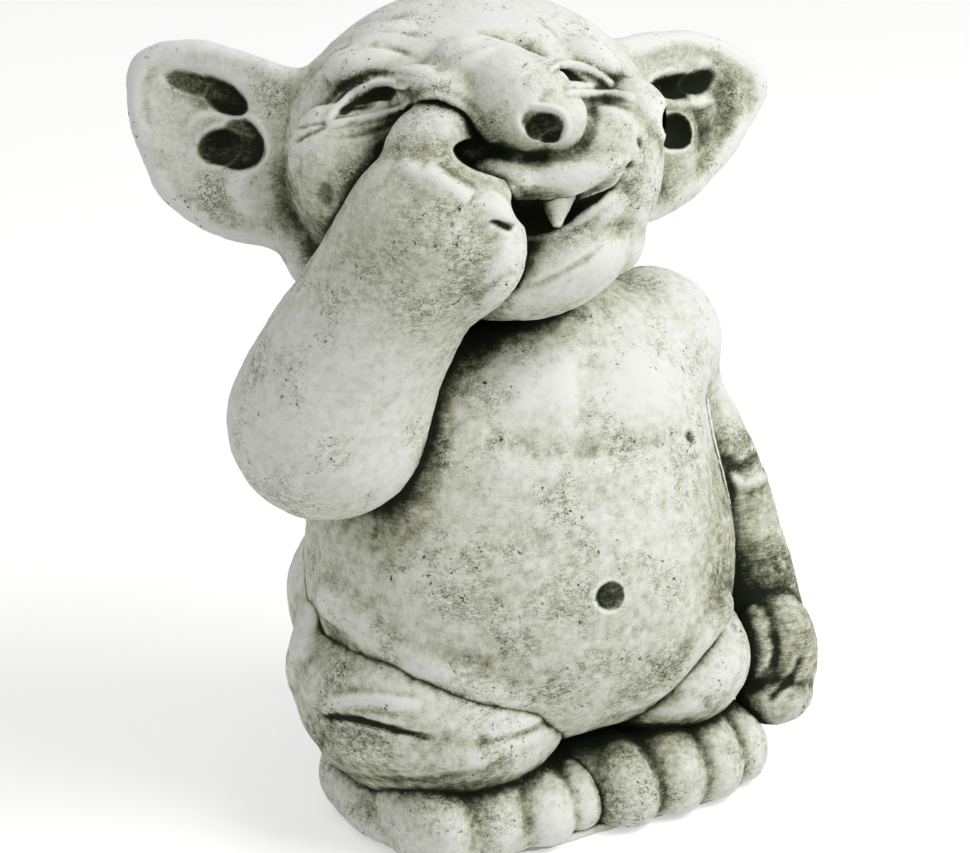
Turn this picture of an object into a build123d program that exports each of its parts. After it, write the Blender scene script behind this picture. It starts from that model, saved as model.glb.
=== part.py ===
"""A squat troll for the garden, cast in stone: it stands on a low slab, one arm hangs beside the hip,
and the other hand is raised to the face with a finger at the nose.

X is the figure's left, Y its back and Z up. The origin lies under the body, on the slab's underside.
Each piece is one swelling mass of the figure, and meets its neighbours along the creases between them.
"""

import os

from build123d import *

os.makedirs("parts", exist_ok=True)

# How far a cutting shape runs past the mass that it cuts
overrun = 6.0

# Slab under the feet
slab_width = 200.0
slab_depth = 154.0
slab_height = 5.0
slab_back_share = -0.097
slab_heel_corner = 66.0
slab_right_corner = 74.0
slab_left_corner = 34.0
slab_bevel = 1.5

# Body, from the seat between the thighs to the neck under the chin
body_half_width = 104.0
body_half_depth = 90.0
body_height = 218.0
# each section: height, half width and half depth, and the middle's place to the back
body_section_shares = (
    (0.0, 0.58, 0.50, -0.06),
    (0.07, 0.83, 0.80, -0.06),
    (0.17, 0.96, 0.98, -0.06),
    (0.30, 1.01, 1.05, -0.06),
    (0.43, 1.00, 1.02, -0.05),
    (0.58, 0.95, 0.93, -0.01),
    (0.75, 0.93, 0.80, 0.05),
    (0.89, 0.70, 0.58, 0.09),
    (1.0, 0.42, 0.40, 0.10),
)
navel_half_size = (8.5, 8.0, 7.5)
navel_place_share = (-0.07, -1.04, -0.18)

# Thighs and seat
right_thigh_half_size = (65.0, 72.0, 49.0)
right_thigh_place_share = (-0.53, -0.17, -0.76)
left_thigh_half_size = (51.0, 68.0, 40.0)
left_thigh_place_share = (0.53, -0.21, -0.79)
hip_half_size = (51.0, 46.0, 52.0)
hip_place_share = (0.48, 0.40, -0.54)

# Feet, each with four stubby toes
foot_half_size = (52.0, 60.0, 30.3)
foot_place_share = (0.51, -0.10, 0.06)
foot_gap = 0.88
toe_half_size = (15.0, 29.0, 22.0)
toe_lift_share = 0.16
# each toe on its foot, from the right foot's outer one on: across, forward, then size
right_toe_shares = ((-0.56, -0.66, 1.22), (-0.10, -0.80, 1.05), (0.40, -0.82, 0.96), (0.84, -0.74, 0.88))
left_toe_shares = ((-0.80, -0.83, 0.95), (-0.29, -0.86, 1.02), (0.24, -0.80, 0.98), (0.72, -0.66, 0.88))

# Head, turned to the figure's right, lifted and leaning a little
head_half_size = (88.0, 82.0, 77.0)
head_place_share = (-0.17, 0.09, 1.49)
head_turn = -19.0
head_lift = 15.5
head_lean = 4.0

# Mouth: an open crescent under the upper lip, from the hand to the left cheek
mouth_depth = 18.0
mouth_start_share = (-0.10, -0.16)
mouth_end_share = (0.71, -0.02)
mouth_top_share = (0.27, -0.25)
mouth_bottom_share = (0.23, -0.43)

# Masses of the face: half sizes, then places in shares of the head
nose_half_size = (33.0, 31.0, 27.0)
nose_place_share = (-0.03, -1.14, 0.30)
nose_bridge_half_size = (23.0, 24.0, 21.0)
nose_bridge_place_share = (-0.06, -0.98, 0.47)
nose_left_wing_half_size = (14.0, 17.0, 14.0)
nose_left_wing_place_share = (0.26, -1.17, 0.17)
nose_right_wing_half_size = (26.0, 18.0, 15.0)
nose_right_wing_place_share = (-0.30, -1.10, 0.31)
nostril_half_size = (9.5, 13.0, 8.0)
nostril_place_share = (0.17, -1.40, 0.15)
right_brow_half_size = (29.0, 14.0, 11.0)
right_brow_place_share = (-0.61, -0.63, 0.46)
right_brow_turn = (0.0, -12.0, -40.0)
left_brow_half_size = (22.0, 13.0, 10.0)
left_brow_place_share = (0.40, -0.75, 0.56)
left_brow_turn = (0.0, 6.0, 24.0)
right_eye_half_size = (20.0, 10.0, 10.0)
right_eye_place_share = (-0.62, -0.70, 0.29)
right_eye_turn = (0.0, -10.0, -40.0)
left_eye_half_size = (16.0, 9.0, 8.0)
left_eye_place_share = (0.38, -0.84, 0.40)
left_eye_turn = (0.0, 6.0, 24.0)
eye_slit_share = (0.74, 0.60, 0.34)
right_cheek_half_size = (27.0, 26.0, 31.0)
right_cheek_place_share = (-0.70, -0.56, -0.08)
left_cheek_half_size = (27.0, 24.0, 25.0)
left_cheek_place_share = (0.60, -0.68, 0.05)
upper_lip_half_size = (37.0, 17.0, 12.0)
upper_lip_place_share = (0.22, -0.92, -0.10)
chin_half_size = (36.0, 28.0, 21.0)
chin_place_share = (0.22, -0.66, -0.60)
fang_width = 12.0
fang_length = 15.0
fang_tip_share = 0.18
fang_place_share = (0.01, -0.30, -0.35)

# Ears, swept back from the sides of the head
ear_length = 80.0
ear_half_height = 48.0
ear_half_thickness = 12.0
ear_sweep = 30.0
ear_place_share = (0.93, 0.15, 0.13)
# outline of the leaf, from the top of the root round the tip to its foot: length, then half height
ear_outline_shares = (
    (-0.20, 0.62),
    (0.24, 0.78),
    (0.60, 0.86),
    (0.88, 0.76),
    (1.0, 0.52),
    (0.93, 0.02),
    (0.78, -0.50),
    (0.46, -0.92),
    (0.12, -1.12),
    (-0.20, -1.18),
)
ear_lens_share = (1.12, 1.0, 1.32)
ear_upper_hollow_half_size = (17.0, 9.0, 9.0)
ear_upper_hollow_place_share = (0.46, -1.0, 0.46)
ear_upper_hollow_tilt = 24.0
ear_lower_hollow_half_size = (19.0, 13.0, 14.0)
ear_lower_hollow_place_share = (0.36, -1.0, -0.02)
ear_lower_hollow_tilt = -18.0

# Right arm: the upper arm, the raised forearm and the hand at the face
right_shoulder_half_size = (43.0, 44.0, 43.0)
right_shoulder_place_share = (-0.81, 0.22, 0.60)
elbow_place_share = (-1.06, -0.21, 0.56)
elbow_radius = 45.0
forearm_radius = 39.0
wrist_radius = 35.0
forearm_waist_share = 0.55
fist_half_size = (38.0, 37.0, 38.0)
fist_place_share = (-0.39, -1.02, -0.38)
# fingers of the raised hand: half sizes, then places in shares of the fist
index_finger_half_size = (17.0, 18.0, 27.0)
index_finger_place_share = (0.04, -0.20, 0.90)
index_finger_turn = (0.0, 18.0, 0.0)
middle_finger_half_size = (17.0, 17.0, 13.0)
middle_finger_place_share = (0.60, -0.24, 0.26)
ring_finger_half_size = (19.0, 19.0, 16.0)
ring_finger_place_share = (0.62, -0.20, -0.36)

# Left arm: it hangs, bent a little forward, with its hand curled beside the thigh
left_shoulder_place_share = (0.75, 0.09, 0.51)
left_shoulder_radius = 38.0
left_upper_arm_radius = 29.0
left_elbow_place_share = (1.10, 0.03, -0.10)
left_elbow_radius = 26.0
left_forearm_radius = 28.0
left_wrist_radius = 23.0
arm_waist_share = 0.5
left_hand_half_size = (22.0, 24.0, 30.0)
left_hand_place_share = (1.13, -0.53, -0.87)
# its thumb and curled fingers: half sizes, then places in shares of the hand
left_thumb_half_size = (10.0, 12.0, 22.0)
left_thumb_place_share = (-0.80, -0.52, 0.26)
left_fingers_half_size = (18.0, 17.0, 16.0)
left_fingers_place_share = (-0.40, -0.46, -0.48)


def egg(frame, half_size, halved=False):
    """A mass like an egg: a half disc turned round, stretched and set on a frame.

    A halved egg is turned half round and mirrored, so that its skin is two faces.
    """
    with BuildPart() as mass:
        with BuildSketch(Plane.YZ):
            with BuildLine():
                side = ThreePointArc((0, -1), (1, 0), (0, 1))
                Line(side @ 1, side @ 0)
            make_face()
        if halved:
            revolve(axis=Axis.Z, revolution_arc=180)
            scale(by=half_size)
            mirror(about=Plane.YZ)
        else:
            revolve(axis=Axis.Z)
            scale(by=half_size)
    return mass.part.moved(frame.location)


def stretched(half_size, shares):
    """Three sizes, each taken by its own share."""
    return tuple(half * share for half, share in zip(half_size, shares))


def seat(frame, half_size, shares, turn=(0, 0, 0)):
    """A frame on a mass, placed by shares of its half sizes and turned in degrees."""
    place = frame.from_local_coords(stretched(half_size, shares))
    return Plane(origin=place, x_dir=frame.x_dir, z_dir=frame.z_dir).rotated(turn)


def limb(start, end, start_radius, middle_radius, end_radius, middle_share):
    """A round limb: a ball at its start, and a side that runs on through a middle to a flat end."""
    axis = end - start
    length = axis.length
    with BuildPart() as mass:
        with BuildSketch(Plane.YZ):
            with BuildLine():
                ball = RadiusArc((0, -start_radius), (start_radius, 0), -start_radius)
                side = Spline(
                    (start_radius, 0),
                    (middle_radius, length * middle_share),
                    (end_radius, length),
                    tangents=((0, 1), (0, 1)),
                )
                Polyline(side @ 1, (0, length), ball @ 0)
            make_face()
        revolve(axis=Axis.Z)
    return mass.part.moved(Plane(origin=start, z_dir=axis).location)


# Frames and plain masses: a smaller mass is cut by the plain ones beside it
slab_top = Plane.XY.offset(slab_height)
slab_back = slab_back_share * slab_depth / 2
foot_room = (body_half_width, body_half_depth, foot_half_size[2])
body_lift = slab_height + foot_half_size[2] * (1 + foot_place_share[2]) + foot_gap
body_half_size = (body_half_width, body_half_depth, body_height / 2)
body_frame = Plane.XY.offset(body_lift + body_height / 2)
head_place = seat(body_frame, body_half_size, head_place_share).origin
head_frame = Plane(Location(head_place, (head_turn, -head_lift, head_lean), Intrinsic.ZXY))
face_plane = Plane(origin=head_place, x_dir=head_frame.x_dir, z_dir=-head_frame.y_dir)
fist_frame = seat(head_frame, head_half_size, fist_place_share)

with BuildPart() as body_mass:
    for height, width, depth, back in body_section_shares:
        with BuildSketch(Plane.XY.offset(body_lift + height * body_height)):
            with Locations((0, back * body_half_depth)):
                Ellipse(width * body_half_width, depth * body_half_depth)
    loft()

head_mass = egg(head_frame, head_half_size, halved=True)
right_thigh_mass = egg(seat(body_frame, body_half_size, right_thigh_place_share), right_thigh_half_size)
left_thigh_mass = egg(seat(body_frame, body_half_size, left_thigh_place_share), left_thigh_half_size)
thigh_masses = [right_thigh_mass, left_thigh_mass]
seat_masses = [body_mass.part] + thigh_masses


# Slab: a plate rounded by four corners of its own, bevelled round its top
right, left = -slab_width / 2, slab_width / 2
front, rear = slab_back - slab_depth / 2, slab_back + slab_depth / 2
with BuildPart() as slab:
    with BuildSketch():
        with BuildLine():
            FilletPolyline(
                (right, front),
                (left, front),
                (left, rear),
                (right, rear),
                radius=(slab_right_corner, slab_left_corner, slab_heel_corner, slab_heel_corner),
                close=True,
            )
        make_face()
    extrude(amount=slab_height)
    chamfer(slab.faces().sort_by(Axis.Z)[-1].edges(), length=slab_bevel)
slab.part.label = "slab"
export_step(slab.part, "parts/slab.step")


# Torso: the belly, chest and neck in one skin through level sections, with a seat for the head and a navel
navel_mass = egg(seat(body_frame, body_half_size, navel_place_share), navel_half_size)
with BuildPart() as torso:
    add(body_mass.part)
    add(head_mass, mode=Mode.SUBTRACT)
    add(navel_mass, mode=Mode.SUBTRACT)
torso.part.label = "torso"
export_step(torso.part, "parts/torso.step")


# Thighs: the left one gives way to the right one where they meet
with BuildPart() as right_thigh:
    add(right_thigh_mass)
    split(bisect_by=slab_top, keep=Keep.TOP)
    add(body_mass.part, mode=Mode.SUBTRACT)
right_thigh.part.label = "right_thigh"
export_step(right_thigh.part, "parts/right_thigh.step")

with BuildPart() as left_thigh:
    add(left_thigh_mass)
    split(bisect_by=slab_top, keep=Keep.TOP)
    add(body_mass.part, mode=Mode.SUBTRACT)
    add(right_thigh_mass, mode=Mode.SUBTRACT)
left_thigh.part.label = "left_thigh"
export_step(left_thigh.part, "parts/left_thigh.step")


# Hips, between the thighs and the small of the back
for side, name in ((-1, "right_hip"), (1, "left_hip")):
    across, back, up = hip_place_share
    hip_mass = egg(seat(body_frame, body_half_size, (side * across, back, up)), hip_half_size)
    with BuildPart() as hip:
        add(hip_mass)
        split(bisect_by=slab_top, keep=Keep.TOP)
        for mass in seat_masses:
            add(mass, mode=Mode.SUBTRACT)
    hip.part.label = name
    export_step(hip.part, f"parts/{name}.step")
    seat_masses.append(hip_mass)


# Feet, each with its row of toes: the left ones give way to the right ones
foot_masses = []
toe_masses = []
for side, name, toe_shares in ((-1, "right", right_toe_shares), (1, "left", left_toe_shares)):
    across, back, up = foot_place_share
    foot_frame = seat(slab_top, foot_room, (side * across, back, up))
    foot_mass = egg(foot_frame, foot_half_size)
    with BuildPart() as foot:
        add(foot_mass)
        split(bisect_by=slab_top, keep=Keep.TOP)
        for mass in thigh_masses + foot_masses + toe_masses:
            add(mass, mode=Mode.SUBTRACT)
    foot.part.label = f"{name}_foot"
    export_step(foot.part, f"parts/{name}_foot.step")
    foot_masses.append(foot_mass)

    new_masses = [
        egg(
            seat(foot_frame, foot_half_size, (across, forward, toe_lift_share)),
            stretched(toe_half_size, [size] * 3),
        )
        for across, forward, size in toe_shares
    ]
    with BuildPart() as toes:
        for mass in new_masses:
            add(mass)
        split(bisect_by=slab_top, keep=Keep.TOP)
        for mass in thigh_masses + foot_masses + toe_masses:
            add(mass, mode=Mode.SUBTRACT)
    toes.part.label = f"{name}_toes"
    export_step(toes.part, f"parts/{name}_toes.step")
    toe_masses += new_masses


# Head: the skull and jaw, with the mouth cut in from the front between two arcs
mouth_start, mouth_end, mouth_top, mouth_bottom = (
    (head_half_size[0] * across, head_half_size[2] * up)
    for across, up in (mouth_start_share, mouth_end_share, mouth_top_share, mouth_bottom_share)
)
with BuildPart() as mouth_mass:
    with BuildSketch(face_plane.offset(head_half_size[1] - mouth_depth)):
        with BuildLine():
            ThreePointArc(mouth_start, mouth_top, mouth_end)
            ThreePointArc(mouth_end, mouth_bottom, mouth_start)
        make_face()
    extrude(amount=mouth_depth + overrun)
with BuildPart() as head:
    add(head_mass)
    add(mouth_mass.part, mode=Mode.SUBTRACT)
head.part.label = "head"
export_step(head.part, "parts/head.step")


# Raised right arm: the shoulder, the forearm from its elbow up, and the hand
right_shoulder_mass = egg(
    seat(body_frame, body_half_size, right_shoulder_place_share), right_shoulder_half_size
)
elbow = seat(body_frame, body_half_size, elbow_place_share).origin
forearm_mass = limb(elbow, fist_frame.origin, elbow_radius, forearm_radius, wrist_radius, forearm_waist_share)
fist_mass = egg(fist_frame, fist_half_size)
with BuildPart() as right_shoulder:
    add(right_shoulder_mass)
    add(body_mass.part, mode=Mode.SUBTRACT)
    add(head_mass, mode=Mode.SUBTRACT)
right_shoulder.part.label = "right_shoulder"
export_step(right_shoulder.part, "parts/right_shoulder.step")

with BuildPart() as right_forearm:
    add(forearm_mass)
    for mass in (body_mass.part, head_mass, right_shoulder_mass):
        add(mass, mode=Mode.SUBTRACT)
right_forearm.part.label = "right_forearm"
export_step(right_forearm.part, "parts/right_forearm.step")

with BuildPart() as right_fist:
    add(fist_mass)
    for mass in (head_mass, forearm_mass):
        add(mass, mode=Mode.SUBTRACT)
right_fist.part.label = "right_fist"
export_step(right_fist.part, "parts/right_fist.step")


# Nose: the bulb, its bridge and two wings in one, with the left nostril hollowed out
nose_masses = [
    egg(seat(head_frame, head_half_size, place), half)
    for place, half in (
        (nose_place_share, nose_half_size),
        (nose_bridge_place_share, nose_bridge_half_size),
        (nose_left_wing_place_share, nose_left_wing_half_size),
        (nose_right_wing_place_share, nose_right_wing_half_size),
    )
]
nostril_mass = egg(seat(head_frame, head_half_size, nostril_place_share), nostril_half_size)
with BuildPart() as nose:
    for mass in nose_masses:
        add(mass)
    for mass in (head_mass, fist_mass, forearm_mass, nostril_mass):
        add(mass, mode=Mode.SUBTRACT)
nose.part.label = "nose"
export_step(nose.part, "parts/nose.step")


# Fingers of the raised hand: the first reaches in under the wing of the nose, the others curl
index_finger_frame = seat(fist_frame, fist_half_size, index_finger_place_share, index_finger_turn)
index_finger_mass = egg(index_finger_frame, index_finger_half_size)
with BuildPart() as right_index_finger:
    add(index_finger_mass)
    for mass in [fist_mass, forearm_mass, head_mass] + nose_masses:
        add(mass, mode=Mode.SUBTRACT)
right_index_finger.part.label = "right_index_finger"
export_step(right_index_finger.part, "parts/right_index_finger.step")

curled_masses = [
    egg(seat(fist_frame, fist_half_size, place), half)
    for place, half in (
        (middle_finger_place_share, middle_finger_half_size),
        (ring_finger_place_share, ring_finger_half_size),
    )
]
with BuildPart() as right_curled_fingers:
    for mass in curled_masses:
        add(mass)
    for mass in [fist_mass, forearm_mass, head_mass, index_finger_mass] + nose_masses:
        add(mass, mode=Mode.SUBTRACT)
right_curled_fingers.part.label = "right_curled_fingers"
export_step(right_curled_fingers.part, "parts/right_curled_fingers.step")
hand_masses = [fist_mass, forearm_mass, index_finger_mass] + curled_masses


# Brows, then the eyes under them, each with a slit between its lids
brow_masses = []
for name, place, half, turn in (
    ("right_brow", right_brow_place_share, right_brow_half_size, right_brow_turn),
    ("left_brow", left_brow_place_share, left_brow_half_size, left_brow_turn),
):
    brow_mass = egg(seat(head_frame, head_half_size, place, turn), half)
    with BuildPart() as brow:
        add(brow_mass)
        for mass in [head_mass] + nose_masses:
            add(mass, mode=Mode.SUBTRACT)
    brow.part.label = name
    export_step(brow.part, f"parts/{name}.step")
    brow_masses.append(brow_mass)

cheek_masses = [
    egg(seat(head_frame, head_half_size, place), half)
    for place, half in (
        (right_cheek_place_share, right_cheek_half_size),
        (left_cheek_place_share, left_cheek_half_size),
    )
]
for name, place, half, turn, brow_mass, cheek_mass in (
    ("right_eye", right_eye_place_share, right_eye_half_size, right_eye_turn, brow_masses[0], cheek_masses[0]),
    ("left_eye", left_eye_place_share, left_eye_half_size, left_eye_turn, brow_masses[1], cheek_masses[1]),
):
    eye_frame = seat(head_frame, head_half_size, place, turn)
    slit_mass = egg(seat(eye_frame, half, (0, -1, 0)), stretched(half, eye_slit_share))
    with BuildPart() as eye:
        add(egg(eye_frame, half))
        for mass in [head_mass, brow_mass, cheek_mass, slit_mass] + nose_masses:
            add(mass, mode=Mode.SUBTRACT)
    eye.part.label = name
    export_step(eye.part, f"parts/{name}.step")


# Upper lip, with one fang hanging from it, then the cheeks and the chin round the mouth
lip_frame = seat(head_frame, head_half_size, upper_lip_place_share)
lip_mass = egg(lip_frame, upper_lip_half_size)
with BuildPart() as upper_lip:
    add(lip_mass)
    for mass in [head_mass] + nose_masses + hand_masses:
        add(mass, mode=Mode.SUBTRACT)
upper_lip.part.label = "upper_lip"
export_step(upper_lip.part, "parts/upper_lip.step")

fang_root = seat(lip_frame, upper_lip_half_size, fang_place_share)
with BuildPart() as fang:
    with BuildSketch(fang_root):
        Circle(fang_width / 2)
    with BuildSketch(fang_root.offset(-fang_length)):
        Circle(fang_width / 2 * fang_tip_share)
    loft()
    for mass in (lip_mass, head.part):
        add(mass, mode=Mode.SUBTRACT)
fang.part.label = "fang"
export_step(fang.part, "parts/fang.step")

for name, cheek_mass in zip(("right_cheek", "left_cheek"), cheek_masses):
    with BuildPart() as cheek:
        add(cheek_mass)
        for mass in [head_mass, lip_mass] + nose_masses + hand_masses:
            add(mass, mode=Mode.SUBTRACT)
    cheek.part.label = name
    export_step(cheek.part, f"parts/{name}.step")

chin_mass = egg(seat(head_frame, head_half_size, chin_place_share), chin_half_size)
with BuildPart() as chin:
    add(chin_mass)
    for mass in [head_mass, lip_mass, body_mass.part] + cheek_masses + hand_masses:
        add(mass, mode=Mode.SUBTRACT)
chin.part.label = "chin"
export_step(chin.part, "parts/chin.step")


# Ears: a leaf cut from a lens, dished by two hollows that leave a ridge between them
ear_half_size = (ear_length, ear_half_thickness, ear_half_height)
ear_lens = egg(Plane.XY, stretched(ear_half_size, ear_lens_share))
hollow_masses = [
    egg(seat(Plane.XY, ear_half_size, place, (0, tilt, 0)), half)
    for place, half, tilt in (
        (ear_upper_hollow_place_share, ear_upper_hollow_half_size, ear_upper_hollow_tilt),
        (ear_lower_hollow_place_share, ear_lower_hollow_half_size, ear_lower_hollow_tilt),
    )
]
with BuildPart() as ear_leaf:
    with BuildSketch(Plane.XZ):
        with BuildLine():
            rim = Spline(*[(ear_length * along, ear_half_height * up) for along, up in ear_outline_shares])
            Line(rim @ 1, rim @ 0)
        make_face()
    extrude(amount=ear_half_thickness + overrun, both=True)
    add(ear_lens, mode=Mode.INTERSECT)
    for mass in hollow_masses:
        add(mass, mode=Mode.SUBTRACT)

for side, name, leaf in (
    (-1, "right_ear", ear_leaf.part.mirror(Plane.YZ)),
    (1, "left_ear", ear_leaf.part),
):
    across, back, up = ear_place_share
    ear_frame = seat(head_frame, head_half_size, (side * across, back, up), (0, 0, side * ear_sweep))
    with BuildPart() as ear:
        add(leaf.moved(ear_frame.location))
        for mass in (head_mass, right_shoulder_mass, forearm_mass):
            add(mass, mode=Mode.SUBTRACT)
    ear.part.label = name
    export_step(ear.part, f"parts/{name}.step")


# Hanging left arm, then its hand with the thumb and fingers curled in
left_shoulder = seat(body_frame, body_half_size, left_shoulder_place_share).origin
left_elbow = seat(body_frame, body_half_size, left_elbow_place_share).origin
left_hand_frame = seat(body_frame, body_half_size, left_hand_place_share)
left_upper_arm_mass = limb(
    left_shoulder, left_elbow, left_shoulder_radius, left_upper_arm_radius, left_elbow_radius, arm_waist_share
)
left_forearm_mass = limb(
    left_elbow,
    left_hand_frame.origin,
    left_elbow_radius,
    left_forearm_radius,
    left_wrist_radius,
    arm_waist_share,
)
with BuildPart() as left_upper_arm:
    add(left_upper_arm_mass)
    for mass in (body_mass.part, head_mass):
        add(mass, mode=Mode.SUBTRACT)
left_upper_arm.part.label = "left_upper_arm"
export_step(left_upper_arm.part, "parts/left_upper_arm.step")

with BuildPart() as left_forearm:
    add(left_forearm_mass)
    for mass in (body_mass.part, left_thigh_mass, left_upper_arm_mass):
        add(mass, mode=Mode.SUBTRACT)
left_forearm.part.label = "left_forearm"
export_step(left_forearm.part, "parts/left_forearm.step")

left_arm_masses = [body_mass.part, left_thigh_mass, left_forearm_mass] + foot_masses[-1:] + toe_masses[-1:]
for name, place, half in (
    ("left_hand", (0, 0, 0), left_hand_half_size),
    ("left_thumb", left_thumb_place_share, left_thumb_half_size),
    ("left_fingers", left_fingers_place_share, left_fingers_half_size),
):
    mass = egg(seat(left_hand_frame, left_hand_half_size, place), half, halved=True)
    with BuildPart() as hand_piece:
        add(mass)
        split(bisect_by=slab_top, keep=Keep.TOP)
        for neighbour in left_arm_masses:
            add(neighbour, mode=Mode.SUBTRACT)
    hand_piece.part.label = name
    export_step(hand_piece.part, f"parts/{name}.step")
    left_arm_masses.append(mass)
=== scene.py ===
import math

import bmesh
import bpy
import numpy as np
from mathutils import Euler, Matrix, Vector, noise
from mathutils.bvhtree import BVHTree


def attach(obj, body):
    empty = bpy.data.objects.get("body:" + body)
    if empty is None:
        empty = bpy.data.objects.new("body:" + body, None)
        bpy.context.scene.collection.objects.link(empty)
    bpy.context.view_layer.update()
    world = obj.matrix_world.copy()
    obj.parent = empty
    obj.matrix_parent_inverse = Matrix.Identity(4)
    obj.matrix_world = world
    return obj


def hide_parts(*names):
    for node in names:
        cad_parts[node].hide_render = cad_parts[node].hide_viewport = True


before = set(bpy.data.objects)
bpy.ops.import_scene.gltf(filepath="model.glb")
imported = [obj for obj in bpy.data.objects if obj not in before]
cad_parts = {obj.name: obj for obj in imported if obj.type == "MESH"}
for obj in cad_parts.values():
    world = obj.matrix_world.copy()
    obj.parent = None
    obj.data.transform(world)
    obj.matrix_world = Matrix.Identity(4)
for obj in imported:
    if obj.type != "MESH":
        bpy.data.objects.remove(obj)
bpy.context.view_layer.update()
scene = bpy.context.scene
mm = 0.001

# The photograph's camera. Pixels below are in its frame, counted from the top left.
view = {
    "azimuth": -31.0,
    "elevation": 20.5,
    "distance": 1.5,
    "aim": (-0.01157, 0.0090, 0.17603),
    "lens": 118.58,
    "sensor": 36.0,
    "width": 970,
    "height": 853,
    "clip": (0.05, 60),
}
around, above = math.radians(view["azimuth"]), math.radians(view["elevation"])
toEye = Vector((math.sin(around) * math.cos(above), -math.cos(around) * math.cos(above), math.sin(above)))
toRight = Vector((math.cos(around), math.sin(around), 0))
toTop = toEye.cross(toRight)
eyeWay, rightWay, topWay = np.array(toEye), np.array(toRight), np.array(toTop)
eye = Vector(view["aim"]) + toEye * view["distance"]
focal = view["lens"] / view["sensor"] * view["width"]


def setCamera():
    camera = bpy.data.objects.new("photoCamera", bpy.data.cameras.new("photoCamera"))
    camera.data.lens = view["lens"]
    camera.data.clip_start, camera.data.clip_end = view["clip"]
    camera.location = eye
    camera.rotation_euler = Matrix((toRight, toTop, toEye)).transposed().to_euler()
    scene.collection.objects.link(camera)
    scene.camera = camera
    print("camera set")


def throughPixel(x, y):
    across, up = (x - view["width"] / 2) / focal, (view["height"] / 2 - y) / focal
    return (toRight * across + toTop * up - toEye).normalized()


def toPixels(points):
    away = points - np.array(eye)
    depth = -away @ eyeWay
    x = view["width"] / 2 + focal * (away @ rightWay) / depth
    y = view["height"] / 2 - focal * (away @ topWay) / depth
    return np.stack([x, y], 1)


# the picture's right and top, turned by a lean
def leaned(lean):
    tilt = math.radians(lean)
    across = toRight * math.cos(tilt) + toTop * math.sin(tilt)
    return across, toTop * math.cos(tilt) - toRight * math.sin(tilt)


# how far across and along a leaning oval of the picture each pixel lies, its edge being at 1
def inOval(pixels, spot, half, lean):
    tilt = math.radians(lean)
    right, down = (pixels - np.array(spot)).T
    across = (right * math.cos(tilt) - down * math.sin(tilt)) / half[0]
    along = (right * math.sin(tilt) + down * math.cos(tilt)) / half[1]
    return across, along


# Clay: balls are pressed together, made one skin and smoothed, and then worked with the tools below
clayWork = {
    "ballCuts": 4,
    "weld": 0.01,
    # rounds that even out the normals that the tools follow
    "easyRounds": 6,
    # drawn lines: least share of the width, edge of a sharp one, least depth, mm that may hide one
    "lineWidth": 0.4,
    "lineEdge": 1.3,
    "lineLeast": 0.01,
    "lineBehind": 3,
    # dents: weight of the depth in their reach, and how soon they fade on a side that turns away
    "dentDepth": 0.35,
    "dentTurn": (2, 0.5),
    # presses: how far round the clay may face, and how firm their edge is
    "pressTurn": -0.1,
    "pressEdge": 5,
    "biteLeast": 0.05,
    "refineBehind": 0.3,
    "refineRounds": 2,
    # the cast surface: roughness, step between sizes and number of sizes
    "bumpKind": (0.9, 2.1, 4),
}


def frameAt(place, turned=(0, 0, 0), within=Matrix.Identity(4)):
    turn = Euler([math.radians(angle) for angle in turned]).to_matrix().to_4x4()
    return within @ Matrix.Translation(Vector(place) * mm) @ turn


def roundMass(clay, middle, half):
    size = Matrix.Diagonal((half[0] * mm, half[1] * mm, half[2] * mm, 1))
    bmesh.ops.create_icosphere(clay, subdivisions=clayWork["ballCuts"], radius=1, matrix=middle @ size)


def ball(clay, place, half, turned=(0, 0, 0), within=Matrix.Identity(4)):
    roundMass(clay, frameAt(place, turned, within), half)


def balls(clay, masses):
    for mass in masses:
        ball(clay, *mass)


# a ball placed by a pixel: how far its front stands out of the surface there, and its lean
def lump(clay, tree, spot, stands, half, lean=0):
    place, _ = touch(tree, spot)
    centre = place + toEye * (stands - half[2]) * mm
    turn = Matrix.Rotation(math.radians(lean), 3, toEye) @ Matrix((toRight, toTop, toEye)).transposed()
    roundMass(clay, Matrix.Translation(centre) @ turn.to_4x4(), half)


def lumps(clay, tree, masses):
    for mass in masses.values():
        lump(clay, tree, *mass)


def limb(clay, joints, steps=7):
    for start, end in zip(joints, joints[1:]):
        for step in range(steps + 1):
            share = step / steps
            mixed = [a + (b - a) * share for a, b in zip(start, end)]
            ball(clay, mixed[:3], (mixed[3],) * 3)


# a new skin round the clay: voxel in mm, rounds of smoothing
def skinned(clay, voxel, rounds):
    mesh = bpy.data.meshes.new("clay")
    clay.to_mesh(mesh)
    clay.free()
    blank = bpy.data.objects.new("clay", mesh)
    scene.collection.objects.link(blank)
    skin = blank.modifiers.new("skin", "REMESH")
    skin.mode, skin.voxel_size = "VOXEL", voxel * mm
    soft = blank.modifiers.new("soft", "SMOOTH")
    soft.iterations = rounds
    done = bpy.data.meshes.new_from_object(blank.evaluated_get(bpy.context.evaluated_depsgraph_get()))
    bpy.data.objects.remove(blank)
    bpy.data.meshes.remove(mesh)
    return done


def clayFrom(mesh):
    clay = bmesh.new()
    clay.from_mesh(mesh)
    bpy.data.meshes.remove(mesh)
    return clay


def packedCopy(clay, name):
    clay.from_mesh(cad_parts[name].data)
    bmesh.ops.remove_doubles(clay, verts=clay.verts, dist=clayWork["weld"] * mm)


def readVerts(mesh, what="co"):
    flat = np.empty(len(mesh.vertices) * 3, dtype=np.float32)
    mesh.vertices.foreach_get(what, flat)
    return flat.reshape(-1, 3).astype(float)


def readEdges(mesh):
    ends = np.empty(len(mesh.edges) * 2, dtype=np.int32)
    mesh.edges.foreach_get("vertices", ends)
    return ends.reshape(-1, 2)


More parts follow.
